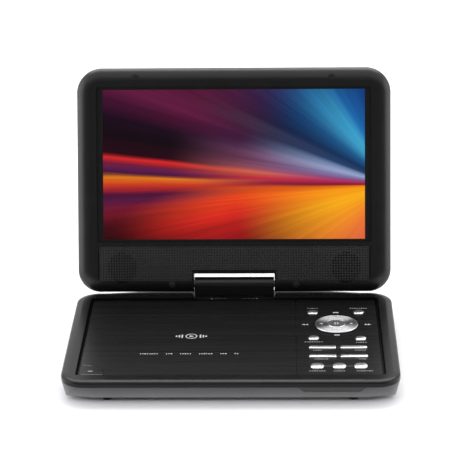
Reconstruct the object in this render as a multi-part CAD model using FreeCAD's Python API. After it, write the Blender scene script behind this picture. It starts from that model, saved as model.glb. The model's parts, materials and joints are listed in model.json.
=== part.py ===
"""Portable disc player with a swivelling, tilting screen: every separate piece as its own solid.

Layout frame: millimetres, +X to the player's right, +Y to its back, +Z up, Z = 0 on the surface
that the rubber feet rest on. Shapes are laid out with Y = 0 near the middle of the base, and
export() moves them back by ORIGIN_Y so that Y = 0 is the middle of the opened player.
"""
import FreeCAD, Part
import math
import os

Vec = FreeCAD.Vector

# ---------------------------------------------------------------- driving dimensions
BASE_W = 237.4          # base width at its parting line
BASE_FRONT = -83.6
BASE_BACK = 79.0
BACK_BOW = 7.0          # how far the middle of the back edge swells beyond its ends
BASE_R = 17.0           # corner radius in plan
FOOT_H = 3.2
PARTING_Z = 12.6        # lower shell meets upper shell
SHOULDER_Z = 15.2
CREST_Z = 17.0
SHOULDER_IN = 5.0       # shoulder's width in plan
DECK_Z = 15.6           # flat pad that the hinge turns over
WALL = 1.5

PLATE_TOP = 15.8        # disc lid and control panel
PLATE_T = 1.5
PLATE_X = 105.9
PLATE_FRONT = -69.2
PLATE_BACK = 64.3
SEAM_X = 46.2           # between disc lid and control panel
SEAM_GAP = 0.35
GROOVE = 2.6            # open groove around the plates
LEDGE_TOP = 12.4
LEDGE_T = 1.2

DISC_X = -29.8          # spindle axis
DISC_Y = -2.4
DISC_BAY_R = 62.0
WELL_FLOOR = 10.0
HUB_R = 7.4             # fits the 15 mm hole of a disc

SWIVEL_Y = 78.5         # vertical swivel axis, x = 0
TILT_Z = 23.7           # horizontal tilt axis, over the swivel axis
REST_LEAN = 17.5        # screen leans back from upright, degrees
POST_R = 4.6
LOBE_R = 15.5
PAD_R = 31.5

LID_W = 237.4
LID_T = 12.0
LID_TOP = 163.8         # above the tilt axis
LID_R_TOP = 19.0
LID_R_LOW = 17.0
EDGE_FRONT = 10.5       # width of the front's rounded border
EDGE_BACK = 7.0
LID_WALL = 1.6
SHAFT_R = 2.5
FIT = 0.04              # radial running clearance
BARREL_R = 5.3
HINGE_X = 30.1
NOTCH_X = 30.5
NOTCH_TOP = 8.2

SCREEN_X = 99.0         # visible picture, half width
SCREEN_LOW = 34.2
SCREEN_HIGH = 147.4
WINDOW_X = 103.7        # opening in the front frame, half width
WINDOW_LOW = 32.2
WINDOW_HIGH = 149.5
GRILLE_X = 103.0
GRILLE_LOW = 2.8
GRILLE_HIGH = 29.0
SPEAKER_X = 84.5
SPEAKER_H = 12.8
SPEAKER_R = 11.6

BUTTON_TOP = 16.6
BUTTON_GAP = 0.25       # all round, between a button and its hole

ORIGIN_Y = 24.4         # middle of the opened player, in the layout frame

NODES = {}


# ---------------------------------------------------------------- small helpers
def box(x0, x1, y0, y1, z0, z1):
    return Part.makeBox(x1 - x0, y1 - y0, z1 - z0, Vec(x0, y0, z0))


def rod(x, y, z0, z1, r):
    return Part.makeCylinder(r, z1 - z0, Vec(x, y, z0), Vec(0, 0, 1))


def rod_x(x0, x1, y, z, r):
    return Part.makeCylinder(r, x1 - x0, Vec(x0, y, z), Vec(1, 0, 0))


def rod_y(x, y0, y1, z, r):
    return Part.makeCylinder(r, y1 - y0, Vec(x, y0, z), Vec(0, 1, 0))


def ring(x, y, z0, z1, r_in, r_out):
    return rod(x, y, z0, z1, r_out).cut(rod(x, y, z0 - 1, z1 + 1, r_in))


def polygon_prism(points, z0, z1):
    corners = [Vec(x, y, z0) for x, y in points]
    wire = Part.makePolygon(corners + corners[:1])
    return Part.Face(wire).extrude(Vec(0, 0, z1 - z0))


def slab(x0, x1, y0, y1, z0, z1, r):
    """Box with its four upright edges rounded."""
    body = box(x0, x1, y0, y1, z0, z1)
    upright = [e for e in body.Edges if abs(e.BoundBox.ZLength - (z1 - z0)) < 1e-6]
    return body.makeFillet(r, upright)


def oval(x, y, z0, z1, length, width):
    """Ellipse in plan, pulled up into a prism."""
    curve = Part.Ellipse(Vec(x, y, z0), length / 2, width / 2)
    return Part.Face(Part.Wire(curve.toShape())).extrude(Vec(0, 0, z1 - z0))


def solid(shape):
    """The one largest solid of a result."""
    return max(shape.Solids, key=lambda s: s.Volume)


def union(*shapes):
    return shapes[0].multiFuse(list(shapes[1:])).removeSplitter()


def compound(shapes):
    return Part.makeCompound([s for shape in shapes for s in shape.Solids])


def put(name, shape):
    NODES[name] = shape


# ---------------------------------------------------------------- base outlines
def plan_outline(inset, z):
    """Rounded outline of the base in plan, split so that it can be lofted to bottom_outline()."""
    hx = BASE_W / 2 - inset
    y0 = BASE_FRONT + inset
    y1 = BASE_BACK - inset
    r = BASE_R - inset
    k = r * (1 - math.cos(math.pi / 4))
    knee = hx - r - 6.0
    edges = []

    def line(ax, ay, bx, by):
        edges.append(Part.LineSegment(Vec(ax, ay, z), Vec(bx, by, z)).toShape())

    def arc(ax, ay, mx, my, bx, by):
        edges.append(Part.Arc(Vec(ax, ay, z), Vec(mx, my, z), Vec(bx, by, z)).toShape())

    line(-knee, y0, knee, y0)
    line(knee, y0, hx - r, y0)
    arc(hx - r, y0, hx - k, y0 + k, hx, y0 + r)
    line(hx, y0 + r, hx, y1 - r)
    arc(hx, y1 - r, hx - k, y1 - k, hx - r, y1)
    line(hx - r, y1, knee, y1)
    arc(knee, y1, 0, y1 + BACK_BOW, -knee, y1)
    line(-knee, y1, -hx + r, y1)
    arc(-hx + r, y1, -hx + k, y1 - k, -hx, y1 - r)
    line(-hx, y1 - r, -hx, y0 + r)
    arc(-hx, y0 + r, -hx + k, y0 + k, -hx + r, y0)
    line(-hx + r, y0, -knee, y0)
    return Part.Wire(edges)


def bottom_outline(inset, z):
    """Sharp-cornered outline of the base's underside, whose ends bend back to the corners."""
    hx = BASE_W / 2 - 3.6 - inset
    y0 = BASE_FRONT + 4.2 + inset
    y1 = BASE_BACK - 4.2 - inset
    knee = BASE_W / 2 - BASE_R - 6.0 - inset
    bend = 3.8
    tip = 0.5
    front_right = [(knee, y0), (hx - tip, y0 + bend), (hx, y0 + bend + tip)]
    back_right = [(hx, y1 - bend - tip), (hx - tip, y1 - bend), (knee, y1)]
    right = front_right + back_right
    points = right + [(-x, y) for x, y in reversed(right)]
    corners = [Vec(x, y, z) for x, y in points]
    corners = [corners[-1]] + corners
    return Part.makePolygon(corners)


def ruled(lower, upper):
    return solid(Part.makeLoft([lower, upper], True, True))


def smooth(outlines):
    return solid(Part.makeLoft(outlines, True, False))


def lobe(z0, z1, inset):
    """Half-round swelling behind the base that carries the swivel."""
    body = rod(0, SWIVEL_Y, z0, z1, LOBE_R - inset)
    return body.cut(box(-40, 40, 0, BASE_BACK - 8, z0 - 1, z1 + 1))


# ---------------------------------------------------------------- base shells
SCREW_POSTS = [(-98, -74), (98, -74), (-98, 70.5), (98, 70.5), (50, -75), (-30, -75)]
SIDE_PORTS = {          # y centre, width and height of each opening in the side walls
    "headphone_jack": (1, -30.0, 6.4, 5.6),
    "av_jack": (1, -16.0, 6.4, 5.6),
    "dc_jack": (1, 2.0, 7.0, 6.4),
    "power_switch": (1, 24.0, 12.0, 4.0),
    "usb_socket": (-1, -34.0, 13.4, 5.4),
    "card_socket": (-1, -4.0, 26.0, 3.4),
}
PORT_Z = 8.0


def port_window(name, extra, x0, x1):
    side, y, width, height = SIDE_PORTS[name]
    body = box(x0, x1, y - width / 2 - extra, y + width / 2 + extra,
               PORT_Z - height / 2 - extra, PORT_Z + height / 2 + extra)
    if side < 0:
        body = body.mirror(Vec(0, 0, 0), Vec(1, 0, 0))
    return body


def remote_window_shape(z_top, y0, y1, grow):
    """Trapezoid window in the front of the lower shell, in front view."""
    drop = 4.2
    points = [(46.6 - grow, z_top), (94.6 + grow, z_top),
              (90.2 + grow, z_top - drop - grow), (51.0 - grow, z_top - drop - grow)]
    corners = [Vec(x, y0, z) for x, z in points]
    face = Part.Face(Part.makePolygon(corners + corners[:1]))
    return face.extrude(Vec(0, y1 - y0, 0))


def make_bottom_shell():
    outer = ruled(bottom_outline(0, FOOT_H), plan_outline(0, PARTING_Z))
    inner = ruled(bottom_outline(WALL, FOOT_H + WALL), plan_outline(WALL, PARTING_Z))
    inner = union(inner, ruled(plan_outline(WALL, PARTING_Z), plan_outline(WALL, PARTING_Z + 2)))
    whole = union(outer, lobe(FOOT_H + 3, PARTING_Z, 0))
    hollow = union(inner, lobe(FOOT_H + 3 + WALL, PARTING_Z + 2, WALL))
    whole = whole.cut(hollow)
    posts = [rod(x, y, FOOT_H + 0.4, PARTING_Z - 1.4, 2.6) for x, y in SCREW_POSTS]
    whole = union(whole, *[p.common(outer) for p in posts])
    cuts = [rod(x, y, FOOT_H - 1, PARTING_Z + 1, 1.2) for x, y in SCREW_POSTS]
    cuts += [rod(x, y, FOOT_H - 1, FOOT_H + 1.2, 2.2) for x, y in SCREW_POSTS]
    cuts += [port_window(name, 0.15, 105, 125) for name in SIDE_PORTS]
    cuts.append(remote_window_shape(PARTING_Z, BASE_FRONT - 2, BASE_FRONT + 6, 0.1))
    cuts += [rod(x, y, FOOT_H - 1, FOOT_H + 0.8, 3.75) for x, y in foot_places()]
    put("bottom_shell", solid(whole.cut(compound(cuts))))


def top_ring_solid():
    """Outside of the upper shell: upright band, rounded shoulder and low crest."""
    band = ruled(plan_outline(0, PARTING_Z), plan_outline(0, SHOULDER_Z))
    steps = 5
    angles = [math.radians(90 * k / steps) for k in range(steps + 1)]
    rise = CREST_Z - SHOULDER_Z
    outlines = [plan_outline(SHOULDER_IN * (1 - math.cos(a)), SHOULDER_Z + rise * math.sin(a))
                for a in angles]
    return union(band, smooth(outlines))


def make_top_shell():
    x = PLATE_X + GROOVE
    y0 = PLATE_FRONT - GROOVE
    y1 = PLATE_BACK + GROOVE
    whole = union(top_ring_solid(), lobe(PARTING_Z, DECK_Z, 0))
    inner = ruled(plan_outline(WALL, PARTING_Z - 1), plan_outline(WALL, SHOULDER_Z - WALL + 0.3))
    hollow = union(inner, lobe(PARTING_Z - 1, DECK_Z - WALL, WALL))
    whole = whole.cut(hollow)
    pocket_wall = slab(-x - 1.3, x + 1.3, y0 - 1.3, y1 + 1.3, LEDGE_TOP - LEDGE_T, CREST_Z - 1.6, 3.3)
    whole = union(whole, pocket_wall)
    whole = whole.cut(slab(-x, x, y0, y1, LEDGE_TOP, CREST_Z + 1, 2.0))
    inset = 4.0
    left = slab(-x + inset, SEAM_X + 1.4, y0 + inset, y1 - inset, 0, 20, 1.5)
    right = slab(SEAM_X + 4.4, x - inset, y0 + inset, y1 - inset, 0, 20, 1.5)
    pad = rod(0, SWIVEL_Y, DECK_Z, CREST_Z + 2, PAD_R)
    bush_hole = rod(0, SWIVEL_Y, 5, 20, 9.0)
    whole = whole.cut(compound([left, right, pad, bush_hole]))
    ears = compound([rod(px, py, PARTING_Z - 1.3, SHOULDER_Z - 1, 2.6) for px, py in SCREW_POSTS])
    pilot = compound([rod(px, py, PARTING_Z - 2, SHOULDER_Z - 1.4, 0.9) for px, py in SCREW_POSTS])
    whole = union(whole, *ears.Solids).cut(pilot)
    pin_holes = [rod_x(a, b, LID_HINGE_Y, LID_HINGE_Z, PIN_R) for a, b in PIN_SPANS]
    eyes = [box(a, b, LID_HINGE_Y - 1.1, PLATE_BACK + GROOVE, LEDGE_TOP, LID_HINGE_Z + 1.0)
            for a, b in EYE_SPANS]
    corner = box(-110, 110, LID_HINGE_Y - 1.2, LID_HINGE_Y - 0.75, LID_HINGE_Z + 0.65, LID_HINGE_Z + 1.1)
    eyes = [eye.cut(corner) for eye in eyes]
    whole = union(whole, *eyes).cut(compound(pin_holes))
    put("top_shell", solid(whole))


# ---------------------------------------------------------------- disc lid and its hinge
LID_HINGE_Y = PLATE_BACK + 1.3
LID_HINGE_Z = 14.2
PIN_R = 0.6
KNUCKLES = [(-92.0, -80.0), (20.0, 32.0)]
PIN_SPANS = [(a - 2.6, b + 2.6) for a, b in KNUCKLES]
EYE_SPANS = [(a - 2.4, a - 0.2) for a, b in KNUCKLES] + [(b + 0.2, b + 2.4) for a, b in KNUCKLES]
OPEN_R = 17.5
CATCH_X0 = -97.0        # bar that the open button slides sideways
CATCH_X1 = -64.0
CATCH_Y0 = PLATE_FRONT + 3.0
CATCH_Y1 = PLATE_FRONT + 4.6
CATCH_TRAVEL = 0.9
CORNER = (-PLATE_X, PLATE_FRONT)


def quarter(z0, z1, r):
    body = rod(CORNER[0], CORNER[1], z0, z1, r)
    return body.common(box(CORNER[0], CORNER[0] + 60, CORNER[1], CORNER[1] + 60, z0 - 1, z1 + 1))


def make_disc_lid():
    z0 = PLATE_TOP - PLATE_T
    plate = slab(-PLATE_X, SEAM_X - SEAM_GAP / 2, PLATE_FRONT, PLATE_BACK, z0, PLATE_TOP, 1.5)
    plate = plate.cut(rod(CORNER[0], CORNER[1], z0 - 1, PLATE_TOP + 1, OPEN_R + 0.35))
    for a, b in KNUCKLES:
        barrel = rod_x(a, b, LID_HINGE_Y, LID_HINGE_Z, 1.1)
        web = box(a, b, PLATE_BACK - 2.5, LID_HINGE_Y, LID_HINGE_Z - 0.9, PLATE_TOP - 0.5)
        plate = union(plate, barrel, web)
    pins = compound([rod_x(a, b, LID_HINGE_Y, LID_HINGE_Z, PIN_R + FIT) for a, b in PIN_SPANS])
    hook = box(-72, -66, PLATE_FRONT + 1.2, PLATE_FRONT + 2.4, z0 - 1.6, z0)
    recess = rod(DISC_X, DISC_Y, z0 - 1, z0 + 0.4, 16)
    put("disc_lid", solid(union(plate, hook).cut(pins).cut(recess)))
    put("disc_lid_pins", compound([rod_x(a, b, LID_HINGE_Y, LID_HINGE_Z, PIN_R) for a, b in PIN_SPANS]))


def make_open_button():
    cap = quarter(PLATE_TOP - 1.4, PLATE_TOP + 0.1, OPEN_R)
    trim = box(CORNER[0], CORNER[0] + 0.2, CORNER[1], CORNER[1] + 60, 0, 30)
    stem = rod(CORNER[0] + 6.5, CORNER[1] + 6.5, LEDGE_TOP + 1.5, PLATE_TOP - 1.4, 1.8)
    put("open_button", solid(union(cap.cut(trim), stem)))


# ---------------------------------------------------------------- control panel and buttons
DPAD = (76.0, 18.4)
DPAD_R = 15.9
OK_R = 6.6
SMALL_OVALS = {"mode": (58.9, 41.1), "source": (93.0, 41.0), "stop": (58.9, -6.0), "setup": (93.0, -7.1)}
BARS = {"rewind": (55.1, 74.6, -22.9), "forward": (77.9, 97.1, -22.9),
        "previous": (55.1, 74.6, -38.1), "next": (77.6, 97.2, -38.1)}
LOW_OVALS = {"repeat": 60.7, "title": 76.2, "display": 91.4}
LOW_OVAL_Y = -54.9
OVAL_L, OVAL_W = 7.9, 7.7
LOW_L, LOW_W = 9.8, 9.5
BAR_W = 4.9


def bar_prism(x0, x1, y, z0, z1, grow, round_left):
    """Bar key: square inner end and rounded outer end."""
    r = BAR_W / 2 + grow
    if round_left:
        body = box(x0 + BAR_W / 2, x1 + grow, y - r, y + r, z0, z1)
        cap = rod(x0 + BAR_W / 2, y, z0, z1, r)
    else:
        body = box(x0 - grow, x1 - BAR_W / 2, y - r, y + r, z0, z1)
        cap = rod(x1 - BAR_W / 2, y, z0, z1, r)
    return union(body, cap)


def button_prisms(z0, z1, grow):
    """Plan shape of every key but the ring and centre keys, grown all round."""
    shapes = {}
    for name, (x, y) in SMALL_OVALS.items():
        shapes[name] = oval(x, y, z0, z1, OVAL_L + 2 * grow, OVAL_W + 2 * grow)
    for name, (x0, x1, y) in BARS.items():
        shapes[name] = bar_prism(x0, x1, y, z0, z1, grow, x0 < 60)
    for name, x in LOW_OVALS.items():
        shapes[name] = oval(x, LOW_OVAL_Y, z0, z1, LOW_L + 2 * grow, LOW_W + 2 * grow)
    return shapes


def crown(shape, top, drop):
    """Round the upper rim of a key."""
    rim = [e for e in shape.Edges if e.BoundBox.ZMin > top - 1e-4]
    return shape.makeFillet(drop, rim)


KEY_PCB_TOP = 11.6
SWITCH_TOP = 12.3
STEM_BOTTOM = 12.9


def key_place(name):
    if name in SMALL_OVALS:
        return SMALL_OVALS[name]
    if name in BARS:
        x0, x1, y = BARS[name]
        return ((x0 + x1) / 2, y)
    return (LOW_OVALS[name], LOW_OVAL_Y)


def make_control_panel():
    z0 = PLATE_TOP - PLATE_T
    x0 = SEAM_X + SEAM_GAP / 2
    plate = slab(x0, PLATE_X, PLATE_FRONT, PLATE_BACK, z0, PLATE_TOP, 1.5)
    skirt = slab(x0 + 0.1, PLATE_X - 0.1, PLATE_FRONT + 0.1, PLATE_BACK - 0.1, LEDGE_TOP, z0, 1.4)
    skirt = skirt.cut(slab(x0 + 1.3, PLATE_X - 1.3, PLATE_FRONT + 1.3, PLATE_BACK - 1.3,
                           LEDGE_TOP - 1, z0 + 0.01, 1.0))
    plate = union(plate, skirt)
    holes = list(button_prisms(z0 - 1, PLATE_TOP + 1, BUTTON_GAP).values())
    holes.append(rod(DPAD[0], DPAD[1], z0 - 1, PLATE_TOP + 1, DPAD_R + 0.9 + BUTTON_GAP))
    put("control_panel", solid(plate.cut(compound(holes))))


def make_buttons():
    z_flange = PLATE_TOP - PLATE_T - 0.15
    caps = button_prisms(z_flange - 0.1, BUTTON_TOP, 0)
    flanges = button_prisms(z_flange - 0.9, z_flange, 0.7)
    for name, cap in caps.items():
        x, y = key_place(name)
        key = union(crown(cap, BUTTON_TOP, 0.55), flanges[name],
                    rod(x, y, STEM_BOTTOM, z_flange - 0.5, 1.3))
        put(name + "_button", solid(key))
    x, y = DPAD
    trim = ring(x, y, PLATE_TOP - PLATE_T, PLATE_TOP + 0.35, DPAD_R + BUTTON_GAP, DPAD_R + 0.9 + BUTTON_GAP)
    put("dpad_trim_ring", trim)
    disc = rod(x, y, z_flange - 0.1, BUTTON_TOP, DPAD_R)
    disc = crown(disc, BUTTON_TOP, 0.6)
    flange = rod(x, y, z_flange - 0.9, z_flange, DPAD_R + 0.8)
    stems = [rod(x + dx, y + dy, STEM_BOTTOM, z_flange - 0.5, 1.3)
             for dx, dy in ((11, 0), (-11, 0), (0, 11), (0, -11))]
    pad = union(disc, flange, *stems)
    pad = pad.cut(rod(x, y, 0, 30, OK_R + 0.2))
    put("direction_pad", solid(pad))
    ok = union(crown(rod(x, y, z_flange - 0.5, BUTTON_TOP + 0.15, OK_R), BUTTON_TOP + 0.15, 0.5),
               rod(x, y, STEM_BOTTOM, z_flange - 0.5, 1.3))
    put("ok_button", solid(ok))


def switch_places():
    places = [key_place(n) for n in list(SMALL_OVALS) + list(BARS) + list(LOW_OVALS)]
    x, y = DPAD
    return places + [(x, y), (x + 11, y), (x - 11, y), (x, y + 11), (x, y - 11)]


def make_key_board():
    board = slab(51.2, 104.0, -66.0, 61.0, KEY_PCB_TOP - 1.0, KEY_PCB_TOP, 1.0)
    switches = [box(x - 1.6, x + 1.6, y - 1.6, y + 1.6, KEY_PCB_TOP, SWITCH_TOP)
                for x, y in switch_places()]
    put("key_board", compound([board] + switches))


# ---------------------------------------------------------------- disc drive
SLED_X = DISC_X
SLED_Y = DISC_Y - 24.0      # lens at its innermost place
SLED_TRAVEL = 33.5
SLED_HALF = 5.0
DRIVE_FRONT = DISC_Y - 66.0
DRIVE_BACK = DISC_Y + 22.0
SCREW_Z = 6.9
SLOT_HALF = 11.0
RAIL_Z = 7.4
RAIL_R = 1.0
RAIL_DX = 15.0
SCREW_DX = -20.0
SCREW_R = 1.25
FLOOR_Z = FOOT_H + WALL


def make_disc_well():
    inset = 4.1
    x0 = -(PLATE_X + GROOVE) + inset
    x1 = SEAM_X + 1.3
    y0 = PLATE_FRONT - GROOVE + inset
    y1 = PLATE_BACK + GROOVE - inset
    plate = slab(x0, x1, y0, y1, LEDGE_TOP - LEDGE_T, LEDGE_TOP, 1.5)
    bowl = rod(DISC_X, DISC_Y, WELL_FLOOR - 1.0, LEDGE_TOP, DISC_BAY_R + 1.0)
    bowl = bowl.common(slab(x0, x1, y0, y1, 0, 30, 1.5))
    dish = rod(DISC_X, DISC_Y, WELL_FLOOR, LEDGE_TOP + 1, DISC_BAY_R)
    hub_hole = rod(DISC_X, DISC_Y, 0, 30, 15.0)
    slot = box(SLED_X - SLOT_HALF, SLED_X + SLOT_HALF, SLED_Y - SLED_TRAVEL - 5, DISC_Y,
               0, WELL_FLOOR + 0.4)
    catch_slot = box(CATCH_X0 - 0.4, CATCH_X1 + CATCH_TRAVEL + 0.4, CATCH_Y0 - 0.2, CATCH_Y1 + 0.2, 0, 30)
    well = union(plate, bowl).cut(dish).cut(hub_hole).cut(slot)
    well = well.cut(quarter(0, 30, 12.0)).cut(catch_slot)
    put("disc_well", solid(well))


def make_drive():
    y0 = DRIVE_FRONT
    y1 = DRIVE_BACK
    screw_x = SLED_X + SCREW_DX
    frame = slab(DISC_X - 29, DISC_X + 29, y0, y1, FLOOR_Z + 0.5, FLOOR_Z + 1.3, 3)
    window = box(SLED_X - SLOT_HALF, SLED_X + SLOT_HALF, y0 + 6, DISC_Y - 14, 0, 30)
    motor_bay = box(screw_x - 2.2, screw_x + 2.2, y0 + 3.0, y0 + 6.0, 0, 30)
    ends = [box(SLED_X + s * RAIL_DX - 2.2, SLED_X + s * RAIL_DX + 2.2, a, a + 2.0,
                FLOOR_Z + 1.3, RAIL_Z + RAIL_R + 0.4)
            for s in (-1, 1) for a in (y0 + 1, DISC_Y - 13)]
    grip = [rod_y(SLED_X + s * RAIL_DX, y0 - 1, y1, RAIL_Z, RAIL_R) for s in (-1, 1)]
    screw_ends = [box(screw_x - 1.9, screw_x + 1.9, a, a + 2.0, FLOOR_Z + 1.3, SCREW_Z + 1.9)
                  for a in (y0 + 1, DISC_Y - 13)]
    bore = rod_y(screw_x, y0 - 1, y1, SCREW_Z, SCREW_R + FIT)
    holes = [rod(x, y, 0, 30, 2.0) for x, y in grommet_places()]
    chassis = union(frame, *ends, *screw_ends)
    put("drive_chassis", solid(chassis.cut(compound([window, motor_bay, bore] + grip + holes))))
    rails = [rod_y(SLED_X + s * RAIL_DX, y0 + 1, DISC_Y - 11, RAIL_Z, RAIL_R) for s in (-1, 1)]
    put("sled_rails", compound(rails))
    grommets = []
    for x, y in grommet_places():
        body = rod(x, y, FLOOR_Z, FLOOR_Z + 2.6, 2.8).cut(ring(x, y, FLOOR_Z + 0.5, FLOOR_Z + 1.3, 2.0, 6))
        grommets.append(body.cut(rod(x, y, 0, 30, 0.9)))
    put("damping_grommets", compound(grommets))
    motor = ring(DISC_X, DISC_Y, FLOOR_Z + 1.3, FLOOR_Z + 4.0, 1.2 + FIT, 11.5)
    can = rod_y(screw_x, y0 + 3.2, y0 + 5.8, SCREW_Z, 2.0)
    can = can.cut(rod_y(screw_x, y0 - 20, y0 + 20, SCREW_Z, SCREW_R + FIT))
    put("drive_motors", compound([motor, can]))
    hub = union(rod(DISC_X, DISC_Y, FLOOR_Z + 1.4, WELL_FLOOR, 1.2),
                rod(DISC_X, DISC_Y, FLOOR_Z + 4.2, WELL_FLOOR + 1.0, 13.0),
                rod(DISC_X, DISC_Y, WELL_FLOOR + 1.0, WELL_FLOOR + 3.2, HUB_R))
    crown_edge = [e for e in hub.Edges if e.BoundBox.ZMin > WELL_FLOOR + 3.2 - 1e-4]
    hub = hub.makeChamfer(0.5, crown_edge)
    balls = []
    for k in range(3):
        a = math.radians(90 + 120 * k)
        balls.append(Part.makeSphere(0.8, Vec(DISC_X + 6.3 * math.cos(a), DISC_Y + 6.3 * math.sin(a),
                                              WELL_FLOOR + 2.1)))
    sockets = [Part.makeSphere(0.85, b.BoundBox.Center) for b in balls]
    put("spindle_hub", solid(hub.cut(compound(sockets))))
    put("hub_balls", compound(balls))


def grommet_places():
    return [(DISC_X + sx * 25.0, y) for sx in (-1, 1) for y in (DISC_Y - 58.5, DISC_Y + 18.5)]


def make_sled():
    x0 = SLED_X - 17.5
    x1 = SLED_X + 17.5
    y0 = SLED_Y - SLED_HALF
    y1 = SLED_Y + SLED_HALF
    body = box(x0, x1, y0, y1, FLOOR_Z + 1.6, 8.8)
    head = box(SLED_X - 8.5, SLED_X + 8.5, SLED_Y - 4.0, SLED_Y + 4.0, 8.8, WELL_FLOOR - 0.4)
    arm = box(SLED_X + SCREW_DX - 1.9, x0, SLED_Y - 2.0, SLED_Y + 2.0, FLOOR_Z + 1.6, 8.6)
    bores = [rod_y(SLED_X + s * RAIL_DX, y0 - 1, y1 + 1, RAIL_Z, RAIL_R + FIT) for s in (-1, 1)]
    bores.append(rod_y(SLED_X + SCREW_DX, y0 - 1, y1 + 1, SCREW_Z, SCREW_R + 0.1))
    seat = rod(SLED_X, SLED_Y, WELL_FLOOR - 1.6, WELL_FLOOR + 1, 2.6)
    put("laser_sled", solid(union(body, head, arm).cut(compound(bores + [seat]))))
    lens = rod(SLED_X, SLED_Y, WELL_FLOOR - 1.6, WELL_FLOOR - 0.2, 2.6)
    lens = union(lens, Part.makeSphere(4.0, Vec(SLED_X, SLED_Y, WELL_FLOOR - 3.75)).common(
        rod(SLED_X, SLED_Y, WELL_FLOOR - 1.0, WELL_FLOOR + 1, 2.0)))
    put("objective_lens", solid(lens))
    screw = rod_y(SLED_X + SCREW_DX, DRIVE_FRONT + 0.6, DISC_Y - 11.5, SCREW_Z, SCREW_R)
    put("lead_screw", screw)


# ---------------------------------------------------------------- electronics and ports
def make_electronics():
    board = box(-104, 104, 25.5, 65.0, FLOOR_Z + 1.5, FLOOR_Z + 2.7)
    keep_out = rod(0, SWIVEL_Y, 0, 30, 13.0)
    chips = [box(x - w / 2, x + w / 2, y - d / 2, y + d / 2, FLOOR_Z + 2.7, FLOOR_Z + 2.7 + h)
             for x, y, w, d, h in ((-60, 45, 20, 20, 1.2), (-25, 50, 14, 9, 1.0), (10, 50, 14, 9, 1.0),
                                   (62, 50, 10, 10, 1.2), (85, 42, 8, 8, 1.2))]
    put("main_board", compound([solid(board.cut(keep_out))] + chips))
    cells = [slab(50.5, 104, y, y + 40, FLOOR_Z + 0.2, FLOOR_Z + 5.2, 1.6) for y in (-63, -21)]
    put("battery_cells", compound(cells))


def port_body(name, depth, x_face):
    return port_window(name, 0, x_face - depth, x_face)


def drilled(body, name, radius, depth, x_face):
    side, y, _, _ = SIDE_PORTS[name]
    hole = rod_x(x_face - depth, x_face + 1, y, PORT_Z, radius)
    if side < 0:
        hole = hole.mirror(Vec(0, 0, 0), Vec(1, 0, 0))
    return body.cut(hole)


PORT_FACE = 115.6


def make_ports():
    jacks = [drilled(port_body(name, 11.0, PORT_FACE), name, 1.8, 10.0, PORT_FACE)
             for name in ("headphone_jack", "av_jack")]
    put("audio_video_jacks", compound(jacks))
    dc = drilled(port_body("dc_jack", 10.0, PORT_FACE), "dc_jack", 2.75, 8.5, PORT_FACE)
    _, y, _, _ = SIDE_PORTS["dc_jack"]
    put("dc_jack", solid(union(dc, rod_x(PORT_FACE - 9.5, PORT_FACE - 0.8, y, PORT_Z, 0.85))))
    _, y, w, h = SIDE_PORTS["usb_socket"]
    usb = port_body("usb_socket", 10.5, PORT_FACE)
    usb = usb.cut(box(-PORT_FACE - 1, -PORT_FACE + 9.5, y - w / 2 + 0.4, y + w / 2 - 0.4,
                      PORT_Z - h / 2 + 0.4, PORT_Z + h / 2 - 0.4))
    tongue = box(-PORT_FACE + 0.8, -PORT_FACE + 10.0, y - 5.4, y + 5.4, PORT_Z + 0.2, PORT_Z + 1.9)
    put("usb_socket", solid(union(usb, tongue)))
    _, y, w, h = SIDE_PORTS["card_socket"]
    card = port_body("card_socket", 10.5, PORT_FACE)
    card = card.cut(box(-PORT_FACE - 1, -PORT_FACE + 9.5, y - w / 2 + 0.7, y + w / 2 - 0.7,
                        PORT_Z - 1.15, PORT_Z + 1.15))
    put("card_socket", card)
    _, y, w, h = SIDE_PORTS["power_switch"]
    knob = box(PORT_FACE - 2.6, PORT_FACE + 0.6, y - 5.6, y - 0.6, PORT_Z - 1.7, PORT_Z + 1.7)
    grips = compound([box(PORT_FACE + 0.2, PORT_FACE + 1, y - 5.2 + k, y - 4.8 + k, 0, 30)
                      for k in (0.6, 1.6, 2.6, 3.6)])
    put("power_switch", solid(knob.cut(grips)))
    body = box(PORT_FACE - 7.6, PORT_FACE - 2.7, y - w / 2, y + w / 2, PORT_Z - 2.4, PORT_Z + 2.4)
    put("power_switch_body", body)


# ---------------------------------------------------------------- feet, screws, window
def foot_places():
    return [(x, y) for x in (-86.0, 86.0) for y in (BASE_FRONT + 10.4, BASE_BACK - 12.0)]


def make_small_parts():
    feet = []
    for x, y in foot_places():
        foot = Part.makeCone(3.2, 3.65, 0.9, Vec(x, y, 0), Vec(0, 0, 1))
        foot = union(foot, rod(x, y, 0.9, FOOT_H + 0.8, 3.65))
        feet.append(foot)
    put("rubber_feet", compound(feet))
    screws = []
    for x, y in SCREW_POSTS:
        screw = union(rod(x, y, FOOT_H + 0.2, FOOT_H + 1.2, 2.1), rod(x, y, FOOT_H + 1.2, PARTING_Z + 0.6, 0.9))
        cross = union(box(x - 1.1, x + 1.1, y - 0.25, y + 0.25, 0, FOOT_H + 0.8),
                      box(x - 0.25, x + 0.25, y - 1.1, y + 1.1, 0, FOOT_H + 0.8))
        screws.append(screw.cut(cross))
    put("case_screws", compound(screws))
    skin = ruled(bottom_outline(0, FOOT_H), plan_outline(0, PARTING_Z))
    core = ruled(bottom_outline(WALL - 0.1, FOOT_H), plan_outline(WALL - 0.1, PARTING_Z))
    window = remote_window_shape(PARTING_Z, BASE_FRONT - 2, BASE_FRONT + 6, 0)
    put("remote_window", solid(window.common(skin).cut(core)))
    catch = box(CATCH_X0, CATCH_X1, CATCH_Y0, CATCH_Y1, LEDGE_TOP - 3.2, LEDGE_TOP + 0.6)
    put("lid_catch", catch)


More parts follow.
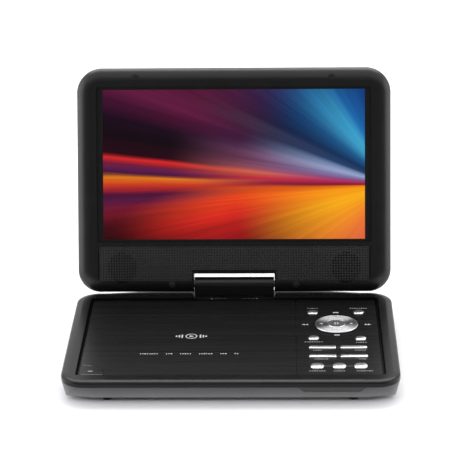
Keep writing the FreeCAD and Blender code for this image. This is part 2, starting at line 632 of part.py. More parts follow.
# ---------------------------------------------------------------- swivel and hinge
def hinge_outline(grow, y_min, y_max):
    """Barrel with a square body below it, as a section swept along X between y_min and y_max."""
    half = 5.8 + grow
    x = HINGE_X + min(grow, 0)
    barrel = rod_x(-x, x, SWIVEL_Y, TILT_Z, BARREL_R + grow)
    body = box(-x, x, SWIVEL_Y - half, SWIVEL_Y + half, HINGE_BOTTOM - grow, TILT_Z + 0.6)
    keep = box(-60, 60, y_min, y_max, 0, 60)
    return union(barrel, body).common(keep)


HINGE_BOTTOM = 16.35
BRACKET_BOTTOM = HINGE_BOTTOM + 1.0
POST_LOW = 8.1
NUT_TOP = 9.6
WASHER_TOP = 10.3


def make_hinge():
    shaft_hole = rod_x(-60, 60, SWIVEL_Y, TILT_Z, SHAFT_R + 0.15)
    post_hole = rod(0, SWIVEL_Y, 0, BRACKET_BOTTOM + 1.5, POST_R + 0.1)
    for name, a, b in (("hinge_cover_front", 0, SWIVEL_Y), ("hinge_cover_rear", SWIVEL_Y, 200)):
        shell = hinge_outline(0, a, b).cut(hinge_outline(-1.0, -200, 200))
        shell = shell.cut(compound([shaft_hole, post_hole]))
        put(name, solid(shell))
    plate = box(-26, 26, SWIVEL_Y - 4.6, SWIVEL_Y + 4.6, BRACKET_BOTTOM, BRACKET_BOTTOM + 1.4)
    ears = []
    for side in (-1, 1):
        for x in (15.0, 23.0):
            ear = union(rod_x(0, 3.0, SWIVEL_Y, TILT_Z, 4.1),
                        box(0, 3.0, SWIVEL_Y - 3.6, SWIVEL_Y + 3.6, BRACKET_BOTTOM, TILT_Z))
            ear.translate(Vec(side * x - 1.5, 0, 0))
            ears.append(ear)
    bore = rod_x(-60, 60, SWIVEL_Y, TILT_Z, SHAFT_R + FIT)
    wire_hole = rod(0, SWIVEL_Y, 0, 40, 3.4)
    put("hinge_bracket", solid(union(plate, *ears).cut(compound([bore, wire_hole]))))
    put("swivel_post", ring(0, SWIVEL_Y, POST_LOW, BRACKET_BOTTOM, POST_R - 1.2, POST_R))
    bush = union(ring(0, SWIVEL_Y, WASHER_TOP + 0.1, DECK_Z + 0.5, POST_R + FIT, 8.95),
                 ring(0, SWIVEL_Y, DECK_Z - WALL - 1.4, DECK_Z - WALL - 0.2, POST_R + FIT, 9.8))
    put("swivel_bush", bush)
    washer = ring(0, SWIVEL_Y, NUT_TOP, WASHER_TOP, POST_R, 9.4)
    corners = [math.radians(60 * k) for k in range(6)]
    nut = polygon_prism([(10.2 * math.cos(a), SWIVEL_Y + 10.2 * math.sin(a)) for a in corners],
                        POST_LOW, NUT_TOP)
    put("swivel_nut_and_washer", compound([washer, nut.cut(rod(0, SWIVEL_Y, 0, 30, POST_R))]))


# ---------------------------------------------------------------- display
def to_screen_pose(shape):
    """From the screen's own upright frame (tilt axis at the origin, front towards -Y) to its place."""
    placed = shape.copy()
    placed.rotate(Vec(0, 0, 0), Vec(1, 0, 0), -REST_LEAN)
    placed.translate(Vec(0, SWIVEL_Y, TILT_Z))
    return placed


def put_screen(name, shape):
    put(name, to_screen_pose(shape))


def lid_outline(inset, y):
    """Front view of the lid: larger corner radii at its top."""
    hx = LID_W / 2 - inset
    z0 = -LID_T / 2 + inset
    z1 = LID_TOP - inset
    edges = []
    rt = LID_R_TOP - inset
    rl = LID_R_LOW - inset
    s = 1 - math.cos(math.pi / 4)

    def line(a, b):
        edges.append(Part.LineSegment(Vec(a[0], y, a[1]), Vec(b[0], y, b[1])).toShape())

    def arc(a, m, b):
        edges.append(Part.Arc(Vec(a[0], y, a[1]), Vec(m[0], y, m[1]), Vec(b[0], y, b[1])).toShape())

    line((-hx + rl, z0), (hx - rl, z0))
    arc((hx - rl, z0), (hx - rl * s, z0 + rl * s), (hx, z0 + rl))
    line((hx, z0 + rl), (hx, z1 - rt))
    arc((hx, z1 - rt), (hx - rt * s, z1 - rt * s), (hx - rt, z1))
    line((hx - rt, z1), (-hx + rt, z1))
    arc((-hx + rt, z1), (-hx + rt * s, z1 - rt * s), (-hx, z1 - rt))
    line((-hx, z1 - rt), (-hx, z0 + rl))
    arc((-hx, z0 + rl), (-hx + rl * s, z0 + rl * s), (-hx + rl, z0))
    return Part.Wire(edges)


def lid_block(inset, y0, y1):
    return Part.Face(lid_outline(inset, y0)).extrude(Vec(0, y1 - y0, 0))


def lid_form():
    """Outside of the closed lid: broad soft front edges, rounder back and a half-round lower edge."""
    half = LID_T / 2
    steps = 5
    angles = [math.radians(90 * k / steps) for k in range(steps + 1)]
    front = [lid_outline(EDGE_FRONT * (1 - math.cos(a)), MID_Y - (half + MID_Y) * math.sin(a)) for a in angles]
    back = [lid_outline(EDGE_BACK * (1 - math.cos(a)), MID_Y + (half - MID_Y) * math.sin(a)) for a in angles]
    body = union(smooth(front), smooth(back))
    lower = union(rod_x(-130, 130, 0, 0, half), box(-130, 130, -half, half, 0, LID_TOP + 5))
    return body.common(lower)


def lid_hollow():
    half = LID_T / 2 - LID_WALL
    foot_x = LID_W / 2 - LID_R_LOW - 2
    body = union(lid_block(LID_WALL + 3.4, -half, half), box(-foot_x, foot_x, -half, half, -half, 20))
    lower = union(rod_x(-130, 130, 0, 0, half), box(-130, 130, -half, half, 0, LID_TOP + 5))
    return body.common(lower)


LID_SCREWS = [(-47.0, -0.1), (47.0, -0.1), (-74.0, 156.8), (74.0, 156.8)]
NOTCH_WALL = 1.4
MID_Y = 0.6             # where the front frame meets the rear cover


def lid_halves():
    form = lid_form()
    hollow = lid_hollow()
    notch_wall = box(-NOTCH_X - NOTCH_WALL, NOTCH_X + NOTCH_WALL, -LID_T / 2, LID_T / 2,
                     -LID_T, NOTCH_TOP + NOTCH_WALL)
    hollow = hollow.cut(notch_wall)
    notch = box(-NOTCH_X, NOTCH_X, -LID_T, LID_T, -LID_T, NOTCH_TOP)
    shell = form.cut(hollow).cut(notch)
    shaft_hole = rod_x(-60, 60, 0, 0, SHAFT_R + 0.05)
    shell = shell.cut(shaft_hole)
    front = shell.common(box(-130, 130, -LID_T, MID_Y, -LID_T, 200))
    rear = shell.common(box(-130, 130, MID_Y, LID_T, -LID_T, 200))
    return front, rear


def speaker_places():
    return [(side * SPEAKER_X, SPEAKER_H) for side in (-1, 1)]


def make_lid_shells():
    front, rear = lid_halves()
    half = LID_T / 2
    window = box(-WINDOW_X, WINDOW_X, -LID_T, 0, WINDOW_LOW, WINDOW_HIGH)
    seat_back = box(-GRILLE_X - 1.2, GRILLE_X + 1.2, -half + 1.2, -half + 2.4, GRILLE_LOW - 1.2, GRILLE_HIGH + 1.2)
    seat_back = seat_back.common(lid_form()).cut(box(-NOTCH_X, NOTCH_X, -LID_T, LID_T, -LID_T, NOTCH_TOP))
    front = union(front, seat_back)
    pocket = grille_blank(0.1, -LID_T, -half + 1.2)
    sound = [rod_y(x, -half, 0, h, SPEAKER_R) for x, h in speaker_places()]
    plugs = [rod_y(x, -half - 1, -half + 1.0, h, 2.5) for x, h in LID_SCREWS]
    pilots = [rod_y(x, -half - 1, half - 1.0, h, 1.0) for x, h in LID_SCREWS]
    front = front.cut(compound([window, pocket, *sound, *plugs, *pilots]))
    put_screen("screen_bezel", solid(front))
    bosses = [rod_y(x, MID_Y, half - 0.8, h, 2.2).common(lid_form()) for x, h in LID_SCREWS]
    rear = union(rear, *bosses).cut(compound(pilots))
    put_screen("rear_cover", solid(rear))
    screws = []
    bumpers = []
    for x, h in LID_SCREWS:
        screws.append(rod_y(x, -half + 1.1, half - 1.4, h, 0.95))
        dome = Part.makeCone(2.4, 1.2, 0.4, Vec(x, -half, h), Vec(0, -1, 0))
        bumpers.append(union(rod_y(x, -half, -half + 1.0, h, 2.4), dome))
    put_screen("lid_screws", compound(screws))
    put_screen("screen_bumpers", compound(bumpers))


def grille_blank(grow, y0, y1):
    x = GRILLE_X + grow
    body = Part.makeBox(2 * x, y1 - y0, GRILLE_HIGH - GRILLE_LOW + 2 * grow, Vec(-x, y0, GRILLE_LOW - grow))
    body = body.makeFillet(3.0, [e for e in body.Edges if abs(e.BoundBox.YLength - (y1 - y0)) < 1e-6])
    clear = NOTCH_X + 1.2 - grow
    return body.cut(box(-clear, clear, -20, 20, -20, NOTCH_TOP + 1.2 - grow))


def make_grille():
    half = LID_T / 2
    plate = grille_blank(0, -half + 0.05, -half + 1.15)
    pitch = 2.0
    reach = 10.6
    holes = []
    steps = int(reach // pitch)
    for x, h in speaker_places():
        for i in range(-steps, steps + 1):
            for j in range(-steps, steps + 1):
                inside = math.hypot(i * pitch, j * pitch) <= reach
                if inside and GRILLE_LOW + 1.4 < h + j * pitch < GRILLE_HIGH - 1.4:
                    holes.append(rod_y(x + i * pitch, -half - 1, 0, h + j * pitch, 0.5))
    put_screen("speaker_grille", solid(plate.cut(compound(holes))))


def make_display_insides():
    glass_y = -3.5
    glass = box(-SCREEN_X - 2.2, SCREEN_X + 2.2, glass_y, glass_y + 2.4, SCREEN_LOW - 3, SCREEN_HIGH + 3)
    mask = box(-WINDOW_X - 2, WINDOW_X + 2, glass_y - 0.8, glass_y, WINDOW_LOW - 2, WINDOW_HIGH + 2)
    mask = mask.cut(box(-SCREEN_X, SCREEN_X, -10, 10, SCREEN_LOW, SCREEN_HIGH))
    put_screen("lcd_mask", mask)
    tray = box(-SCREEN_X - 2.6, SCREEN_X + 2.6, glass_y, glass_y + 3.1, SCREEN_LOW - 3.4, SCREEN_HIGH + 3.4)
    tray = tray.cut(box(-SCREEN_X - 2.2, SCREEN_X + 2.2, glass_y - 1, glass_y + 2.4,
                        SCREEN_LOW - 3, SCREEN_HIGH + 3))
    put_screen("lcd_panel", compound([glass, tray]))
    put_screen("display_board", box(-60, 60, 0.2, 1.4, 40, 78))
    speakers = []
    for x, h in speaker_places():
        body = union(rod_y(x, -3.4, -1.6, h, 12.8), rod_y(x, -1.6, 2.6, h, 8.0))
        speakers.append(body.cut(Part.makeCone(9.5, 4.0, 1.6, Vec(x, -3.4, h), Vec(0, 1, 0))))
    put_screen("speakers", compound(speakers))
    shafts = []
    leaves = []
    for side in (-1, 1):
        inner, middle, outer = 11.5, 33.5, 43.5
        shaft = rod_x(inner, outer, 0, 0, SHAFT_R)
        plate = box(middle, outer, 1.7, 2.7, 0.0, 24.0)
        clamp = box(middle, outer, -3.1, 2.7, -3.0, 3.2)
        leaf = union(plate, clamp).cut(rod_x(0, 80, 0, 0, SHAFT_R))
        if side < 0:
            shaft = shaft.mirror(Vec(0, 0, 0), Vec(1, 0, 0))
            leaf = leaf.mirror(Vec(0, 0, 0), Vec(1, 0, 0))
        shafts.append(shaft)
        leaves.append(leaf)
    put_screen("tilt_shafts", compound(shafts))
    put_screen("hinge_leaves", compound(leaves))


# ---------------------------------------------------------------- everything
def export():
    os.makedirs("parts", exist_ok=True)
    for name, shape in NODES.items():
        moved = shape.copy()
        moved.translate(Vec(0, -ORIGIN_Y, 0))
        moved.exportStep("parts/" + name + ".step")


def main():
    make_bottom_shell()
    make_top_shell()
    make_disc_lid()
    make_open_button()
    make_control_panel()
    make_buttons()
    make_key_board()
    make_disc_well()
    make_drive()
    make_sled()
    make_electronics()
    make_ports()
    make_small_parts()
    make_hinge()
    make_lid_shells()
    make_grille()
    make_display_insides()
    export()
    whole = compound(list(NODES.values())).BoundBox
    print(len(NODES), "nodes, box", [round(v, 2) for v in (whole.XMin, whole.XMax, whole.YMin - ORIGIN_Y,
                                                           whole.YMax - ORIGIN_Y, whole.ZMin, whole.ZMax)])


main()
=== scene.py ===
import bpy
import json
import math
from mathutils import Euler, Matrix, Vector


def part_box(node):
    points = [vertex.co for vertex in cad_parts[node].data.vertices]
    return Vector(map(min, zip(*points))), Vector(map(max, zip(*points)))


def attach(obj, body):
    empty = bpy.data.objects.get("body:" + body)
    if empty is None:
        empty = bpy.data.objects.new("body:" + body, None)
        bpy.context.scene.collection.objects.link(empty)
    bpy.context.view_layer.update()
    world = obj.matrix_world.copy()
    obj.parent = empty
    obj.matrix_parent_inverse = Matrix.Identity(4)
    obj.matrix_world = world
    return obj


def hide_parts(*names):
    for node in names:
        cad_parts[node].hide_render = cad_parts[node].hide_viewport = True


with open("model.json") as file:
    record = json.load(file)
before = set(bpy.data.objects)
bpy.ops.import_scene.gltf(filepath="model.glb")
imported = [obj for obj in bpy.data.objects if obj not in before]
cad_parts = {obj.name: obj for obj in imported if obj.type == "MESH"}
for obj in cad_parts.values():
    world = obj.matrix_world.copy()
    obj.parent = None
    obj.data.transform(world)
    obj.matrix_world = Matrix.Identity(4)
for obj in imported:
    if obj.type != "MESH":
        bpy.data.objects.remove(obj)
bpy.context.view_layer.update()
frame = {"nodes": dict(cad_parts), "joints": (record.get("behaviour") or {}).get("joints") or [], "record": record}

MM = 0.001
NODES = frame["nodes"]
JOINTS = {j["name"]: j for j in frame["joints"]}

# ------------------------------------------------------------- places taken from the frame
TILT = Vector(JOINTS["display_tilt"]["pos_m"])
SWIVEL_X, SWIVEL_Y, _ = JOINTS["display_swivel"]["pos_m"]
SPINDLE = Vector(JOINTS["spindle"]["pos_m"])
REST_LEAN = math.radians(17.5)
LEAN = Euler((-REST_LEAN, 0, 0)).to_matrix().to_4x4()
PANEL_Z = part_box("control_panel")[1][2]
LID_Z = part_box("disc_lid")[1][2]


def on_display(x, forward, height):
    """Point in metres from millimetres in the display's own upright frame."""
    return Matrix.Translation(TILT) @ LEAN @ Vector((x * MM, -forward * MM, height * MM))


# ------------------------------------------------------------- mesh helpers
def make_object(name, verts, faces, smooth_angle=None):
    """Mesh object in the scene. Edges that bend less than smooth_angle degrees are shaded smooth."""
    mesh = bpy.data.meshes.new(name)
    mesh.from_pydata([tuple(v) for v in verts], [], faces)
    mesh.validate()
    if smooth_angle is not None:
        mesh.shade_smooth()
        mesh.set_sharp_from_angle(angle=math.radians(smooth_angle))
    obj = bpy.data.objects.new(name, mesh)
    bpy.context.scene.collection.objects.link(obj)
    return obj


class Build:
    """Collects closed shapes into one mesh."""

    def __init__(self):
        self.verts = []
        self.faces = []

    def loops(self, rings):
        """Closed skin over equal-length rings, listed from bottom to top."""
        start = len(self.verts)
        count = len(rings[0])
        for ring in rings:
            self.verts.extend(ring)
        for level in range(len(rings) - 1):
            a = start + level * count
            b = a + count
            for k in range(count):
                n = (k + 1) % count
                self.faces.append((a + k, a + n, b + n, b + k))
        top = start + (len(rings) - 1) * count
        self.faces.append(tuple(start + k for k in reversed(range(count))))
        self.faces.append(tuple(top + k for k in range(count)))

    def prism(self, outline, z0, z1):
        """Prism from a flat outline, listed counter-clockwise from above."""
        self.loops([[(x, y, z0) for x, y in outline], [(x, y, z1) for x, y in outline]])

    def object(self, name, smooth_angle=None):
        return make_object(name, self.verts, self.faces, smooth_angle)


# Outlines are lists of points, counter-clockwise as seen from above.
def rect(x, y, w, h):
    """Rectangle centred on x, y."""
    return [(x - w / 2, y - h / 2), (x + w / 2, y - h / 2), (x + w / 2, y + h / 2), (x - w / 2, y + h / 2)]


def turned(outline, angle, x, y):
    """Outline turned about its origin, which is then moved to x, y."""
    c, s = math.cos(angle), math.sin(angle)
    return [(x + c * px - s * py, y + s * px + c * py) for px, py in outline]


def circle(x, y, rx, ry, count=40):
    """Circle or ellipse centred on x, y."""
    steps = [2 * math.pi * k / count for k in range(count)]
    return [(x + rx * math.cos(a), y + ry * math.sin(a)) for a in steps]


def arc_band(x, y, r_in, r_out, a0, a1, count=16):
    """Flat curved strip, counter-clockwise."""
    steps = [a0 + (a1 - a0) * k / count for k in range(count + 1)]
    outer = [(x + r_out * math.cos(a), y + r_out * math.sin(a)) for a in steps]
    inner = [(x + r_in * math.cos(a), y + r_in * math.sin(a)) for a in reversed(steps)]
    return outer + inner


def triangle(size, angle, x, y):
    """Arrowhead that points along angle."""
    return turned([(-size / 2, -size / 2), (size / 2, 0), (-size / 2, size / 2)], angle, x, y)


def scale_mm(outline):
    return [(x * MM, y * MM) for x, y in outline]


# ------------------------------------------------------------- material helpers
MIX_FACTOR, MIX_A, MIX_B, MIX_RESULT = 0, 6, 7, 2    # places of the colour sockets on a Mix node


class Shade:
    """A principled material with a few short calls for its node graph."""

    def __init__(self, name, color, rough, metal=0.0):
        self.mat = bpy.data.materials.new(name)
        self.mat.use_nodes = True
        self.tree = self.mat.node_tree
        self.bsdf = self.tree.nodes["Principled BSDF"]
        self.bsdf.inputs["Base Color"].default_value = (*color, 1)
        self.bsdf.inputs["Roughness"].default_value = rough
        self.bsdf.inputs["Metallic"].default_value = metal
        self.coords = self.add("ShaderNodeTexCoord").outputs["Object"]

    def add(self, kind, **settings):
        node = self.tree.nodes.new(kind)
        for key, value in settings.items():
            setattr(node, key, value)
        return node

    def link(self, a, b):
        self.tree.links.new(a, b)

    def feed(self, socket, value):
        """Set a plain number or colour, or link another node's output."""
        if isinstance(value, tuple):
            socket.default_value = (*value, 1)
        elif isinstance(value, (int, float)):
            socket.default_value = value
        else:
            self.link(value, socket)

    def split(self, vector):
        """The X, Y and Z of a vector."""
        node = self.add("ShaderNodeSeparateXYZ")
        self.link(vector, node.inputs[0])
        return node.outputs

    def stretched(self, vector, scale, shift=(0, 0, 0)):
        """Vector scaled per axis and then moved."""
        node = self.add("ShaderNodeMapping")
        node.inputs["Scale"].default_value = scale
        node.inputs["Location"].default_value = shift
        self.link(vector, node.inputs["Vector"])
        return node.outputs["Vector"]

    def noise(self, scale, detail=3.0, rough=0.55, vector=None):
        node = self.add("ShaderNodeTexNoise")
        node.inputs["Scale"].default_value = scale
        node.inputs["Detail"].default_value = detail
        node.inputs["Roughness"].default_value = rough
        self.link(self.coords if vector is None else vector, node.inputs["Vector"])
        return node.outputs["Fac"]

    def ramp(self, value, stops):
        """Colour ramp with (place, colour) stops."""
        node = self.add("ShaderNodeValToRGB")
        ramp = node.color_ramp
        while len(ramp.elements) < len(stops):
            ramp.elements.new(0.5)
        for element, (place, color) in zip(ramp.elements, stops):
            element.position = place
            element.color = (*color, 1)
        self.link(value, node.inputs["Fac"])
        return node.outputs["Color"]

    def map_range(self, value, low, high, to_low=0.0, to_high=1.0, smooth=False):
        """Value rescaled from low..high to to_low..to_high, easing in and out if smooth."""
        node = self.add("ShaderNodeMapRange", interpolation_type="SMOOTHSTEP" if smooth else "LINEAR")
        for key, number in (("From Min", low), ("From Max", high), ("To Min", to_low), ("To Max", to_high)):
            node.inputs[key].default_value = number
        self.link(value, node.inputs["Value"])
        return node.outputs["Result"]

    def math(self, op, a, b=None):
        node = self.add("ShaderNodeMath", operation=op)
        self.feed(node.inputs[0], a)
        if b is not None:
            self.feed(node.inputs[1], b)
        return node.outputs["Value"]

    def mix(self, factor, a, b, blend="MIX"):
        node = self.add("ShaderNodeMix", data_type="RGBA", blend_type=blend)
        for place, value in ((MIX_FACTOR, factor), (MIX_A, a), (MIX_B, b)):
            self.feed(node.inputs[place], value)
        return node.outputs[MIX_RESULT]

    def color(self, value):
        self.link(value, self.bsdf.inputs["Base Color"])

    def rough(self, value, low, high):
        self.link(self.map_range(value, 0.0, 1.0, low, high), self.bsdf.inputs["Roughness"])

    def bump(self, value, strength, distance):
        node = self.add("ShaderNodeBump")
        node.inputs["Strength"].default_value = strength
        node.inputs["Distance"].default_value = distance
        self.link(value, node.inputs["Height"])
        self.link(node.outputs["Normal"], self.bsdf.inputs["Normal"])


def grey(v):
    """Grey with a trace of blue."""
    return (v, v, v * 1.02)


# ------------------------------------------------------------- materials
FINE_GRAIN = 2600.0                       # noise scale of the grain on moulded plastic
TONE_DRIFT = 0.12                         # share by which a plastic's tone wanders


def moulded(name, tone, rough, grain=FINE_GRAIN, depth=0.02, tint=(1, 1, 1), gloss=0.5):
    """Moulded plastic: fine grain, slow tone drift and a little uneven sheen."""
    base = tuple(tone * t for t in tint)
    darker, lighter = (tuple(c * k for c in base) for k in (1 - TONE_DRIFT, 1 + TONE_DRIFT))
    s = Shade(name, base, rough)
    s.bsdf.inputs["Specular IOR Level"].default_value = gloss
    s.color(s.ramp(s.noise(28.0, 4.0), [(0.3, darker), (0.7, lighter)]))
    s.rough(s.noise(90.0, 5.0), rough - 0.05, rough + 0.06)
    s.bump(s.noise(grain, 2.0), 0.25, depth * MM)
    return s.mat


def lower_shell():
    """Dark satin plastic with painted light from the desk: its colour grows paler towards the bottom."""
    wall_height = 12.6 * MM
    s = Shade("lower_shell", grey(0.12), 0.38)
    height = s.math("DIVIDE", s.split(s.coords)["Z"], wall_height)
    drift = s.math("MULTIPLY", s.math("SUBTRACT", s.noise(35.0, 4.0), 0.5), TONE_DRIFT)
    # painted light: colour pales towards the bottom, where the bright desk would light the wall
    floor_light_tones = [(0.25, grey(0.28)), (0.6, grey(0.15)), (0.98, grey(0.07))]
    s.color(s.ramp(s.math("ADD", height, drift), floor_light_tones))
    s.rough(s.noise(90.0, 5.0), 0.33, 0.44)
    s.bump(s.noise(FINE_GRAIN, 2.0), 0.25, 0.02 * MM)
    return s.mat


def brushed_black():
    """Black lacquered panel with fine lines along X."""
    s = Shade("panel_brushed", grey(0.02), 0.28)
    s.bsdf.inputs["Specular IOR Level"].default_value = 0.3
    fine = s.noise(1.0, 3.0, 0.7, s.stretched(s.coords, (9.0, 2600.0, 60.0)))
    broad = s.noise(1.0, 2.0, 0.6, s.stretched(s.coords, (5.0, 900.0, 30.0)))
    both = s.math("ADD", s.math("MULTIPLY", fine, 0.6), s.math("MULTIPLY", broad, 0.4))
    s.color(s.ramp(both, [(0.34, grey(0.003)), (0.5, grey(0.006)), (0.66, grey(0.014))]))
    s.rough(both, 0.20, 0.36)
    s.bump(both, 0.2, 0.02 * MM)
    return s.mat


def brushed_silver(radial):
    """Plated key: circular brushing on the direction pad, satin elsewhere."""
    name = "key_silver_turned" if radial else "key_silver"
    s = Shade(name, (0.76, 0.76, 0.78), 0.4, 1.0)
    if radial:
        s.bsdf.inputs["Anisotropic"].default_value = 0.85
        s.bsdf.inputs["Anisotropic Rotation"].default_value = 0.25
        tangent = s.add("ShaderNodeTangent", direction_type="RADIAL", axis="Z")
        s.link(tangent.outputs["Tangent"], s.bsdf.inputs["Tangent"])
    streak = s.noise(420.0, 4.0)
    s.color(s.ramp(streak, [(0.35, (0.70, 0.70, 0.72)), (0.65, (0.82, 0.82, 0.84))]))
    s.rough(streak, 0.34 if radial else 0.24, 0.46 if radial else 0.34)
    s.bump(s.noise(1500.0, 2.0), 0.08, 0.01 * MM)
    return s.mat


def plain_metal(name, color, rough, scale=900.0):
    """Bare metal with a fine uneven grain."""
    s = Shade(name, color, rough, 1.0)
    grain = s.noise(scale, 4.0)
    s.color(s.ramp(grain, [(0.3, tuple(c * 0.82 for c in color)), (0.7, color)]))
    s.rough(grain, rough - 0.06, rough + 0.1)
    s.bump(grain, 0.12, 0.02 * MM)
    return s.mat


def circuit_board():
    """Green board with a paler grid of tracks."""
    s = Shade("board_green", (0.02, 0.12, 0.05), 0.4)
    cells = s.add("ShaderNodeTexBrick")
    cells.inputs["Scale"].default_value = 160.0
    cells.inputs["Color1"].default_value = (0.02, 0.13, 0.05, 1)
    cells.inputs["Color2"].default_value = (0.015, 0.10, 0.04, 1)
    cells.inputs["Mortar"].default_value = (0.06, 0.22, 0.09, 1)
    cells.inputs["Mortar Size"].default_value = 0.03
    s.link(s.coords, cells.inputs["Vector"])
    s.color(cells.outputs["Color"])
    s.rough(s.noise(300.0), 0.3, 0.5)
    return s.mat


def print_ink(name, tone):
    s = Shade(name, grey(tone), 0.6)
    s.color(s.ramp(s.noise(2200.0), [(0.3, grey(tone * 0.8)), (0.7, grey(tone))]))
    return s.mat


# The picture's own coordinates start in the middle of its lower edge.
PICTURE_UNIT = 100.0                      # millimetres to one unit of them
PICTURE_HALF = 99.0
PICTURE_LOW, PICTURE_HIGH = 34.2, 147.4
PICTURE_FACE = 3.56                       # its front, ahead of the tilt axis
PICTURE_THICK = 0.04
PICTURE_TUCK = 0.8                        # width of the edge that the mask hides
VANISH = (1.21, 0.41)                     # where its streaks would meet, in its own coordinates
SWEEP = (math.radians(-62), math.radians(74))        # directions from there that the colours cover

# Colours by direction, from the bottom of the sweep to the top, at three distances from that point.
FAR_COLORS = [
    (0.370, (0.02, 0.0, 0.002)), (0.395, (0.06, 0.002, 0.006)), (0.415, (0.16, 0.006, 0.02)),
    (0.430, (0.09, 0.008, 0.05)), (0.440, (0.05, 0.004, 0.03)), (0.449, (0.30, 0.012, 0.02)),
    (0.458, (0.62, 0.05, 0.012)), (0.469, (0.85, 0.22, 0.01)), (0.474, (0.05, 0.004, 0.03)),
    (0.484, (0.12, 0.012, 0.08)), (0.489, (0.20, 0.01, 0.03)), (0.496, (0.60, 0.018, 0.018)),
    (0.502, (0.02, 0.001, 0.006)), (0.530, (0.006, 0.001, 0.004)), (0.555, (0.012, 0.002, 0.012)),
    (0.575, (0.06, 0.004, 0.03)), (0.600, (0.10, 0.008, 0.04)), (1.0, (0.05, 0.006, 0.03))]
MIDDLE_COLORS = [
    (0.0, (0.30, 0.015, 0.04)), (0.30, (0.22, 0.004, 0.006)), (0.345, (0.40, 0.010, 0.010)),
    (0.385, (0.66, 0.022, 0.012)), (0.425, (0.80, 0.06, 0.010)), (0.447, (0.75, 0.09, 0.010)),
    (0.458, (0.25, 0.012, 0.03)), (0.466, (0.38, 0.02, 0.06)), (0.480, (0.55, 0.03, 0.03)),
    (0.492, (0.72, 0.14, 0.06)), (0.505, (0.40, 0.10, 0.12)), (0.520, (0.22, 0.06, 0.11)),
    (0.545, (0.16, 0.05, 0.12)), (0.575, (0.045, 0.014, 0.055)), (0.600, (0.018, 0.008, 0.035)),
    (0.630, (0.035, 0.032, 0.065)), (0.655, (0.008, 0.010, 0.04)), (0.690, (0.004, 0.012, 0.06)),
    (0.800, (0.006, 0.05, 0.20)), (1.0, (0.004, 0.03, 0.15))]
NEAR_COLORS = [
    (0.0, (0.75, 0.12, 0.05)), (0.12, (0.85, 0.20, 0.03)), (0.22, (0.90, 0.30, 0.015)),
    (0.33, (0.95, 0.42, 0.008)), (0.42, (0.90, 0.30, 0.006)), (0.446, (0.75, 0.12, 0.006)),
    (0.456, (0.10, 0.008, 0.02)), (0.468, (0.30, 0.012, 0.05)), (0.480, (0.45, 0.02, 0.10)),
    (0.500, (0.25, 0.06, 0.20)), (0.525, (0.20, 0.16, 0.36)), (0.560, (0.30, 0.36, 0.56)),
    (0.590, (0.18, 0.26, 0.46)), (0.615, (0.02, 0.05, 0.14)), (0.665, (0.006, 0.03, 0.10)),
    (0.730, (0.012, 0.10, 0.26)), (0.790, (0.04, 0.30, 0.52)), (0.840, (0.05, 0.38, 0.62)),
    (0.900, (0.012, 0.14, 0.42)), (1.0, (0.004, 0.04, 0.22))]


def picture():
    """Light streaks that spread from a point beyond the picture's right edge."""
    s = Shade("screen_picture", (0, 0, 0), 0.22)
    place = s.split(s.add("ShaderNodeUVMap", uv_map="picture").outputs["UV"])
    dx = s.math("SUBTRACT", VANISH[0], place["X"])
    dy = s.math("SUBTRACT", place["Y"], VANISH[1])
    angle = s.math("ARCTAN2", dy, dx)
    reach = s.math("SQRT", s.math("ADD", s.math("MULTIPLY", dx, dx), s.math("MULTIPLY", dy, dy)))
    polar = s.add("ShaderNodeCombineXYZ")
    s.link(angle, polar.inputs["X"])
    s.link(reach, polar.inputs["Y"])

    def streaks(across, along, detail, seed):
        """Noise that is short across the streaks and long along them."""
        vector = s.stretched(polar.outputs[0], (across, along, 1), (seed, seed * 0.7, 0))
        return s.noise(1.0, detail, 0.62, vector)

    broad = streaks(across=11.0, along=0.7, detail=2.0, seed=3.1)
    fine = streaks(across=26.0, along=0.5, detail=3.0, seed=7.7)
    wander = s.math("MULTIPLY", s.math("SUBTRACT", broad, 0.5), 0.035)
    turn = s.map_range(s.math("ADD", angle, wander), *SWEEP)

    near_share = s.map_range(reach, 1.25, 0.35, smooth=True)
    # below the level of that point the far colours start further out
    held_back = s.map_range(turn, 0.450, 0.400, 0.0, 0.45, smooth=True)
    far_share = s.map_range(s.math("SUBTRACT", reach, held_back), 0.85, 1.75, smooth=True)
    base = s.mix(near_share, s.ramp(turn, MIDDLE_COLORS), s.ramp(turn, NEAR_COLORS))
    base = s.mix(far_share, base, s.ramp(turn, FAR_COLORS))

    gain = s.ramp(fine, [(0.30, grey(0.75)), (0.50, grey(0.98)), (0.70, grey(1.22))])
    gain = s.mix(s.math("MULTIPLY", near_share, 0.75), gain, (1.0, 1.0, 1.0))
    s.link(s.mix(1.0, base, gain, "MULTIPLY"), s.bsdf.inputs["Emission Color"])
    s.bsdf.inputs["Emission Strength"].default_value = 1.0
    return s.mat


